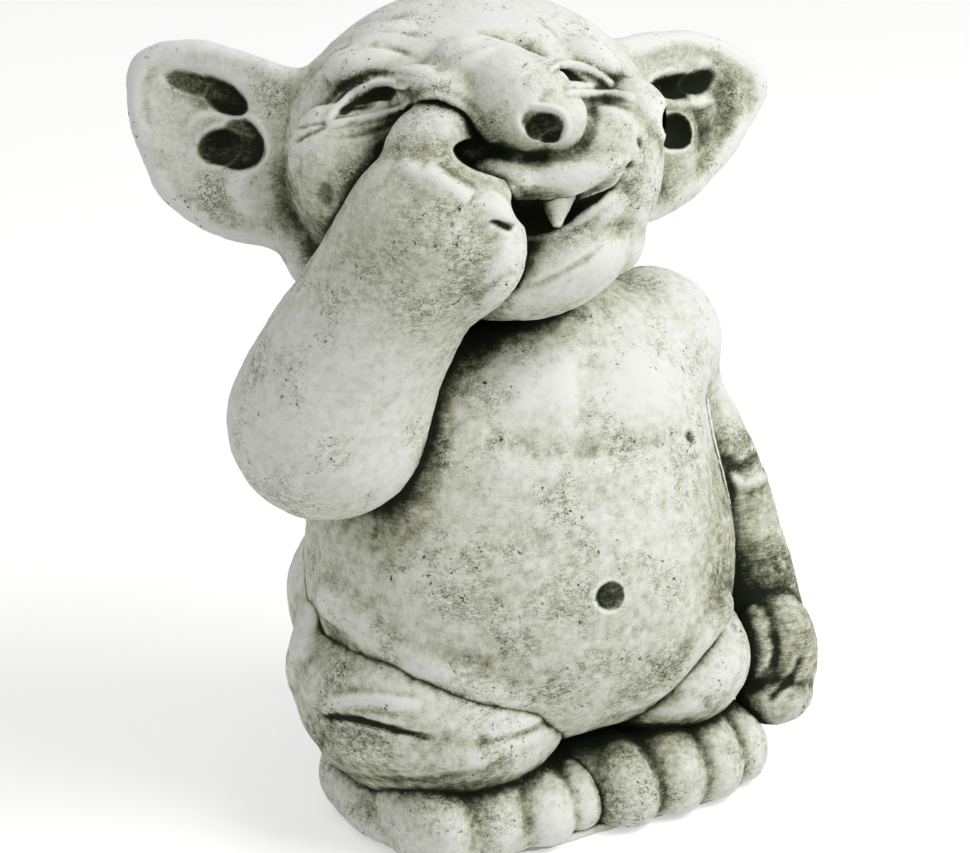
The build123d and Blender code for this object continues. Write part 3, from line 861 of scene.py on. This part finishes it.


# Painted shade and light, with patina in some hollows and patches simply darker or lighter: ovals of pixels
# that darken the stone, or lighten it where the amount is below zero; pixel, half sizes in pixels, lean,
# amount
shadeLightAndStains = {
    "headAndEars": {
        # patina and painted shade in the ear hollows; the left ear darker all over
        "rightEarDeep": ((234, 144), (40, 32), -8, 0.26),
        "rightEarUpper": ((207, 92), (52, 21), -20, 0.26),
        "leftEarDeep": ((678, 130), (32, 30), 0, 0.2),
        "leftEarUpper": ((690, 86), (46, 20), 8, 0.2),
        "leftEar": ((700, 120), (90, 90), 0, 0.18),
        # painted shade under the chin; patina and painted shade inside the mouth; painted light at the
        # lip's end beside the finger
        "underChinShade": ((520, 322), (70, 22), 10, 0.25),
        "mouth": ((526, 213), (56, 28), 12, 0.62),
        "lipEnd": ((472, 163), (34, 20), -10, -0.35),
        # patina and painted shade in the nostril; the cheek and its edge darker
        "nostril": ((544, 126), (22, 18), -10, 0.12),
        "cheek": ((320, 190), (50, 90), 10, 0.10),
        "cheekEdge": ((318, 220), (40, 80), 24, 0.22),
        # painted light on the forehead; the lip and the chin lighter
        "foreheadLight": ((470, 30), (160, 50), 0, -0.26),
        "lip": ((562, 180), (50, 18), 10, -0.27),
        "chin": ((556, 262), (60, 26), 24, -0.06),
    },
    "trunk": {
        # painted shade under the raised hand and in the armpit
        "underHand": ((446, 342), (70, 42), 24, 0.56),
        "armpitShade": ((412, 470), (36, 120), -14, 0.30),
        # patina and painted shade in the navel; the hanging arm and its hand darker
        "navel": ((613, 598), (17, 15), 0, 0.12),
        "leftArm": ((752, 500), (60, 150), -10, 0.34),
        "leftHand": ((780, 640), (70, 110), 0, 0.50),
        # painted shade under the breasts; the low belly and its side darker; the chest lighter
        "underBreastShade": ((600, 424), (90, 26), -4, 0.14),
        "bellyLow": ((560, 660), (200, 90), -8, 0.14),
        "bellySide": ((330, 560), (60, 110), 20, 0.10),
        "chest": ((640, 370), (160, 90), 0, -0.16),
    },
    # the lower thighs, the edge of the right thigh and the toes darker
    "rightThigh": {"low": ((400, 770), (140, 60), -16, 0.34), "edge": ((320, 700), (60, 110), 0, 0.10)},
    "leftThigh": {"low": ((650, 730), (120, 30), 14, 0.25)},
    "rightFoot": {"toes": ((460, 820), (90, 50), 0, 0.12)},
    "leftFoot": {"toes": ((650, 780), (130, 60), 10, 0.20)},
    "raisedArm": {
        # the raised hand darker and its elbow lighter; painted shade in the gap under the finger
        "hand": ((430, 250), (120, 130), 0, 0.13),
        "elbow": ((320, 400), (120, 130), 0, -0.12),
        "gap": ((470, 172), (34, 14), -10, 0.2),
    },
}


# Shelter and wear: how much each point is closed in by what lies round it, which darkens the stone both as
# patina in its hollows and as painted shade under things and between parts
weatherAndShade = {
    "rays": 20,
    # in mm
    "reach": 48,
    "nearReach": 9,
    "lift": 0.35,
    # rounds of blur
    "calmRounds": 4,
    "fineRounds": 5,
    "broadRounds": 40,
    # the steepest normal whose rays are turned about the upright
    "upright": 0.9,
    "ovalEdge": 0.7,
    "ovalTurn": 4,
}


# painted shade and light: the ovals summed, and faded where the surface turns from the camera
def shadedLitAndStained(points, normals, spots):
    pixels, facing, marks = toPixels(points), normals @ eyeWay, np.zeros(len(points))
    for spot, half, lean, amount in spots.values():
        across, along = inOval(pixels, spot, half, lean)
        marks += amount * np.clip(1 - across * across - along * along, 0, 1) ** weatherAndShade["ovalEdge"]
    return marks * np.clip(facing * weatherAndShade["ovalTurn"] + 1, 0, 1)


def skyRays(count):
    rays = []
    for i in range(count):
        height = 1 - (i + 0.5) / count
        flat, spin = math.sqrt(1 - height), i * math.pi * (3 - math.sqrt(5))
        rays.append((flat * math.cos(spin), flat * math.sin(spin), math.sqrt(height)))
    return rays


def weatherAndShadePieces(pieces):
    tree = treeOf(list(pieces.values()))
    rays = skyRays(weatherAndShade["rays"])
    reach, near = weatherAndShade["reach"] * mm, weatherAndShade["nearReach"] * mm
    for piece, mesh in pieces.items():
        points, normals, ends = readVerts(mesh), readVerts(mesh, "normal"), readEdges(mesh)
        flat = np.abs(normals[:, 2:]) < weatherAndShade["upright"]
        side = np.where(flat, np.array([[0, 0, 1.0]]), np.array([[1.0, 0, 0]]))
        across = np.cross(normals, side)
        across /= np.linalg.norm(across, axis=1)[:, None]
        up = np.cross(normals, across)
        starts = (points + normals * weatherAndShade["lift"] * mm).tolist()
        # far: patina with painted shade from anything within reach; close: patina in the tight creases
        farPatinaAndShade, close = np.zeros(len(points)), np.zeros(len(points))
        for ray in rays:
            ways = (across * ray[0] + up * ray[1] + normals * ray[2]).tolist()
            gaps = np.array([tree.ray_cast(s, w, reach)[3] or reach for s, w in zip(starts, ways)])
            farPatinaAndShade += 1 - gaps / reach
            close += np.clip(1 - gaps / near, 0, 1)
        marks = np.stack([farPatinaAndShade / len(rays), close / len(rays)], 1)
        marks = blurred(marks, ends, weatherAndShade["calmRounds"])
        fine = blurred(points, ends, weatherAndShade["fineRounds"])
        broad = blurred(fine, ends, weatherAndShade["broadRounds"])
        layers = {
            "shelterPatinaAndShade": marks[:, 0],
            "nook": marks[:, 1],
            "fineHollow": ((fine - points) * normals).sum(1) / mm,
            "broadHollow": ((broad - points) * normals).sum(1) / mm,
            "shadeLightAndStain": shadedLitAndStained(points, normals, shadeLightAndStains.get(piece, {})),
        }
        for name, values in layers.items():
            mesh.attributes.new(name, "FLOAT", "POINT").data.foreach_set("value", values.astype(np.float32))
        print("weathered and shaded", piece, len(points))


# Stone: pale cast stone with a dark patina left in its hollows, darkened further by painted shade where
# things close it in, and lightened in places by painted light
stone = {
    "white": (0.905, 0.915, 0.87),
    "pale": (0.77, 0.785, 0.69),
    "grey": (0.53, 0.545, 0.41),
    "olive": (0.225, 0.235, 0.155),
    "dark": (0.060, 0.068, 0.040),
    "black": (0.014, 0.017, 0.008),
    "stops": {"white": 0.0, "pale": 0.20, "grey": 0.42, "olive": 0.63, "dark": 0.84, "black": 1.0},
    "roughness": 0.88,
    "specular": 0.2,
    "bumpStrength": 0.6,
    "bumpDistance": 0.0009,
    # how much each mark darkens the stone: patina from the hollows and nooks, patina with painted shade
    # from the shelter, and painted shade and light from the ovals
    "held": {"Shelter Patina And Shade": 0.95, "Nook": 0.55, "Fine Hollow": 1.15, "Broad Hollow": 0.17, "Shade Light And Stain": 1.0},
    # noise scale, detail, roughness, stretch and weight in the dirt
    "noises": {
        "blotch": (12, 4, 0.6, (1, 1, 1), 0.42),
        "mottle": (110, 12, 0.9, (1, 1, 1), 0.20),
        "brush": (420, 8, 0.88, (0.25, 0.25, 1.8), 0.34),
        "cross": (520, 8, 0.88, (1.8, 0.28, 0.5), 0.34),
        "fine": (950, 4, 0.8, (1, 1, 1), 0.72),
    },
    # power of the shelter, which is patina and painted shade, and what it holds, dirt everywhere, and how
    # much the painted ovals of shade, light and stain follow the brush
    "deepPatinaAndShadeHeld": (3.0, 1.5),
    "base": 0.20,
    "patchy": 2.2,
    # pits, and where they gather: noise scale, detail and roughness, where they start and how sharply
    "pits": ((460, 2, 0.5), 0.645, 14),
    "pitPlaces": ((38, 4, 0.6), 0.46, 9.0),
    # scratches wind along the middle of a noise: its scale, detail, roughness and stretch
    "scratches": (240, 7, 0.75, (0.8, 0.8, 1.5)),
    "scratchPlaces": ((38, 3, 0.6), 0.46, 4),
    "scratchThin": 0.032,
    "scratchHeld": 0.74,
    # how far each noise lifts the surface
    "relief": {"brush": 0.7, "fine": 0.55, "mottle": 0.9, "pits": -0.8},
    # painted shade: a little darker on the low pieces of the shaded side
    "lowSoot": 0.05,
}


def node(tree, kind, x=0, y=0, **values):
    made = tree.nodes.new(kind)
    made.location = (x, y)
    for name, value in values.items():
        if hasattr(made, name):
            setattr(made, name, value)
        else:
            made.inputs[name.replace("_", " ")].default_value = value
    return made


def maths(tree, how, a, b=None, c=None, clamp=False):
    made = tree.nodes.new("ShaderNodeMath")
    made.operation, made.use_clamp = how, clamp
    for socket, value in zip(made.inputs, (a, b, c)):
        if value is None:
            continue
        if isinstance(value, (int, float)):
            socket.default_value = value
        else:
            tree.links.new(value, socket)
    return made.outputs[0]


def patinaShadeAndLightGroup():
    group = bpy.data.node_groups.new("patinaShadeAndLight", "ShaderNodeTree")
    face = group.interface
    face.new_socket("Vector", in_out="INPUT", socket_type="NodeSocketVector")
    for name in list(stone["held"]) + ["Soot"]:
        face.new_socket(name, in_out="INPUT", socket_type="NodeSocketFloat")
    for name in ("Grime Shade And Light", "Pits", "Height"):
        face.new_socket(name, in_out="OUTPUT", socket_type="NodeSocketFloat")
    put = node(group, "NodeGroupInput", -1200)
    get = node(group, "NodeGroupOutput", 900)

    def noiseAt(scale, detail, rough, stretch=(1, 1, 1)):
        mapping = node(group, "ShaderNodeMapping", -1000, Scale=stretch)
        made = node(group, "ShaderNodeTexNoise", -800, Scale=scale, Detail=detail, Roughness=rough)
        group.links.new(put.outputs["Vector"], mapping.inputs["Vector"])
        group.links.new(mapping.outputs[0], made.inputs["Vector"])
        return made.outputs["Fac"]

    def above(kind, start, sharp):
        return maths(group, "MULTIPLY", maths(group, "SUBTRACT", noiseAt(*kind), start), sharp, clamp=True)

    # the sum is darker for patina and painted shade, and drops where the painted light ovals are negative
    grimeShadeAndLight = put.outputs["Soot"]
    for name, weight in stone["held"].items():
        grimeShadeAndLight = maths(group, "MULTIPLY_ADD", put.outputs[name], weight, grimeShadeAndLight)
    # patina with painted shade: the most closed-in places are darkened most
    deepPatinaAndShade = maths(group, "POWER", put.outputs["Shelter Patina And Shade"], stone["deepPatinaAndShadeHeld"][0])
    grimeShadeAndLight = maths(group, "MULTIPLY_ADD", deepPatinaAndShade, stone["deepPatinaAndShadeHeld"][1], grimeShadeAndLight)
    felt = {}
    for name, (scale, detail, rough, stretch, weight) in stone["noises"].items():
        felt[name] = noiseAt(scale, detail, rough, stretch)
        grimeShadeAndLight = maths(group, "MULTIPLY_ADD", maths(group, "SUBTRACT", felt[name], 0.5), weight, grimeShadeAndLight)
    patchy = maths(group, "MULTIPLY", maths(group, "SUBTRACT", felt["brush"], 0.5), put.outputs["Shade Light And Stain"])
    grimeShadeAndLight = maths(group, "MULTIPLY_ADD", patchy, stone["patchy"], grimeShadeAndLight)
    grimeShadeAndLight = maths(group, "ADD", grimeShadeAndLight, stone["base"])

    # small irregular pits and scratches, in clusters
    felt["pits"] = maths(group, "MULTIPLY", above(*stone["pits"]), above(*stone["pitPlaces"]))
    group.links.new(felt["pits"], get.inputs["Pits"])
    thin = stone["scratchThin"]
    winding = maths(group, "SUBTRACT", noiseAt(*stone["scratches"]), 0.5)
    winding = maths(group, "SUBTRACT", thin, maths(group, "ABSOLUTE", winding))
    scratch = maths(group, "MULTIPLY", winding, 1 / thin, clamp=True)
    scratch = maths(group, "MULTIPLY", scratch, above(*stone["scratchPlaces"]))
    grimeShadeAndLight = maths(group, "MULTIPLY_ADD", scratch, stone["scratchHeld"], grimeShadeAndLight)
    group.links.new(maths(group, "MAXIMUM", grimeShadeAndLight, 0.0), get.inputs["Grime Shade And Light"])

    height = 0.0
    for name, rise in stone["relief"].items():
        height = maths(group, "MULTIPLY_ADD", felt[name], rise, height)
    group.links.new(height, get.inputs["Height"])
    return group


def stoneMaterial(name, group, shadedSide):
    material = bpy.data.materials.new(name)
    material.use_nodes = True
    tree = material.node_tree
    link = tree.links.new
    shader = tree.nodes["Principled BSDF"]
    shader.inputs["Roughness"].default_value = stone["roughness"]
    shader.inputs["Specular IOR Level"].default_value = stone["specular"]
    place = node(tree, "ShaderNodeTexCoord", -900)
    patinaShadeAndLight = node(tree, "ShaderNodeGroup", -500, node_tree=group)
    patinaShadeAndLight.inputs["Soot"].default_value = shadedSide
    link(place.outputs["Object"], patinaShadeAndLight.inputs["Vector"])
    for attribute, socket in zip(("shelterPatinaAndShade", "nook", "fineHollow", "broadHollow", "shadeLightAndStain"), stone["held"]):
        mark = node(tree, "ShaderNodeAttribute", -900, -200, attribute_name=attribute)
        link(mark.outputs["Fac"], patinaShadeAndLight.inputs[socket])
    # the ramp turns patina, painted shade and painted light into the stone's tones, white to black
    ramp = node(tree, "ShaderNodeValToRGB", -250)
    while len(ramp.color_ramp.elements) < len(stone["stops"]):
        ramp.color_ramp.elements.new(0.5)
    for element, (tone, at) in zip(ramp.color_ramp.elements, stone["stops"].items()):
        element.position, element.color = at, (*stone[tone], 1)
    link(patinaShadeAndLight.outputs["Grime Shade And Light"], ramp.inputs["Fac"])
    # inputs 6 and 7 and output 2 are a Mix node's colours
    pitted = node(tree, "ShaderNodeMix", 0, data_type="RGBA")
    pitted.inputs[7].default_value = (*stone["dark"], 1)
    link(patinaShadeAndLight.outputs["Pits"], pitted.inputs["Factor"])
    link(ramp.outputs["Color"], pitted.inputs[6])
    link(pitted.outputs[2], shader.inputs["Base Color"])
    bump = node(tree, "ShaderNodeBump", 0, -300, Strength=stone["bumpStrength"])
    bump.inputs["Distance"].default_value = stone["bumpDistance"]
    link(patinaShadeAndLight.outputs["Height"], bump.inputs["Height"])
    link(bump.outputs["Normal"], shader.inputs["Normal"])
    return material


# Stage: a pale floor, an even sky and two soft lamps
stage = {
    "floorReach": 12,
    "floorColour": (0.86, 0.86, 0.85, 1),
    "floorRoughness": 0.9,
    "floorGlow": 0.42,
    "white": (1, 1, 1, 1),
    "sky": 0.46,
    # way from the figure in the picture's right, top and out of it, lamp size and watts
    "lamps": {"key": ((1.35, 1.15, 1.0), 1.2, 25), "fill": ((-1.3, 0.6, 1.2), 1.6, 2)},
}


# 1 for what the camera sees, straight, mirrored or through glass
def seenStraight(tree):
    seen = node(tree, "ShaderNodeLightPath", -400)
    either = maths(tree, "MAXIMUM", seen.outputs["Is Camera Ray"], seen.outputs["Is Glossy Ray"])
    return maths(tree, "MAXIMUM", either, seen.outputs["Is Transmission Ray"])


def setStage():
    floor = bmesh.new()
    bmesh.ops.create_grid(floor, x_segments=1, y_segments=1, size=stage["floorReach"])
    mesh = bpy.data.meshes.new("floor")
    floor.to_mesh(mesh)
    floor.free()
    ground = bpy.data.objects.new("floor", mesh)
    scene.collection.objects.link(ground)
    material = bpy.data.materials.new("paleFloor")
    material.use_nodes = True
    tree = material.node_tree
    shader = tree.nodes["Principled BSDF"]
    shader.inputs["Base Color"].default_value = stage["floorColour"]
    shader.inputs["Roughness"].default_value = stage["floorRoughness"]
    shader.inputs["Emission Color"].default_value = stage["white"]
    glow = maths(tree, "MULTIPLY", seenStraight(tree), stage["floorGlow"])
    tree.links.new(glow, shader.inputs["Emission Strength"])
    mesh.materials.append(material)

    world = bpy.data.worlds.new("studio")
    scene.world = world
    world.use_nodes = True
    tree = world.node_tree
    soft = tree.nodes["Background"]
    soft.inputs["Color"].default_value = stage["white"]
    soft.inputs["Strength"].default_value = stage["sky"]
    white = node(tree, "ShaderNodeBackground", 0, -200, Strength=1.0)
    white.inputs["Color"].default_value = stage["white"]
    mix = node(tree, "ShaderNodeMixShader", 200)
    tree.links.new(seenStraight(tree), mix.inputs[0])
    tree.links.new(soft.outputs[0], mix.inputs[1])
    tree.links.new(white.outputs[0], mix.inputs[2])
    tree.links.new(mix.outputs[0], tree.nodes["World Output"].inputs[0])

    for name, (way, size, power) in stage["lamps"].items():
        away = toRight * way[0] + toTop * way[1] + toEye * way[2]
        light = bpy.data.lights.new(name, "AREA")
        light.size, light.energy = size, power
        lamp = bpy.data.objects.new(name, light)
        lamp.location = Vector(view["aim"]) + away
        lamp.rotation_euler = away.to_track_quat("Z", "Y").to_euler()
        scene.collection.objects.link(lamp)
    scene.view_settings.view_transform = "Standard"
    print("stage lit")


def addPiece(name, mesh, material, nodes):
    mesh.name = name
    mesh.shade_smooth()
    mesh.materials.append(material)
    piece = bpy.data.objects.new(name, mesh)
    scene.collection.objects.link(piece)
    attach(piece, "root")
    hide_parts(*nodes)
    print("piece", name, len(mesh.polygons))


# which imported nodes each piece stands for
standsFor = {
    "trunk": [
        "torso", "right_shoulder", "left_upper_arm", "left_forearm",
        "left_hand", "left_thumb", "left_fingers",
    ],
    "rightThigh": ["right_thigh", "right_hip"],
    "leftThigh": ["left_thigh", "left_hip"],
    "rightFoot": ["right_foot", "right_toes"],
    "leftFoot": ["left_foot", "left_toes"],
    "footSlab": ["slab"],
    "headAndEars": [
        "head", "nose", "right_brow", "left_brow", "right_eye", "left_eye",
        "right_cheek", "left_cheek", "upper_lip", "chin", "right_ear", "left_ear",
    ],
    "raisedArm": ["right_forearm", "right_fist", "right_index_finger", "right_curled_fingers"],
    "tooth": ["fang"],
}

setCamera()
setStage()
group = patinaShadeAndLightGroup()
plain = stoneMaterial("castStone", group, 0.0)
# a shaded copy of the stone, painted a little darker, for the pieces on the shaded side
shadedSideStone = stoneMaterial("castStoneShadedSide", group, stone["lowSoot"])
shadedSidePieces = ("rightThigh", "rightFoot", "footSlab")
made = {side + "Thigh": sculptThigh(side) for side in ("right", "left")}
made["trunk"] = sculptTrunk(list(made.values()))
for side in ("right", "left"):
    made[side + "Foot"] = sculptFoot(side)
made["footSlab"] = sculptSlab()
made["headAndEars"] = sculptHead()
made["raisedArm"] = sculptRaisedArm(made["headAndEars"])
made["tooth"] = sculptFang(treeOf([made["headAndEars"]]))
print("all sculpted")
weatherAndShadePieces(made)
for name, mesh in made.items():
    addPiece(name, mesh, shadedSideStone if name in shadedSidePieces else plain, standsFor[name])
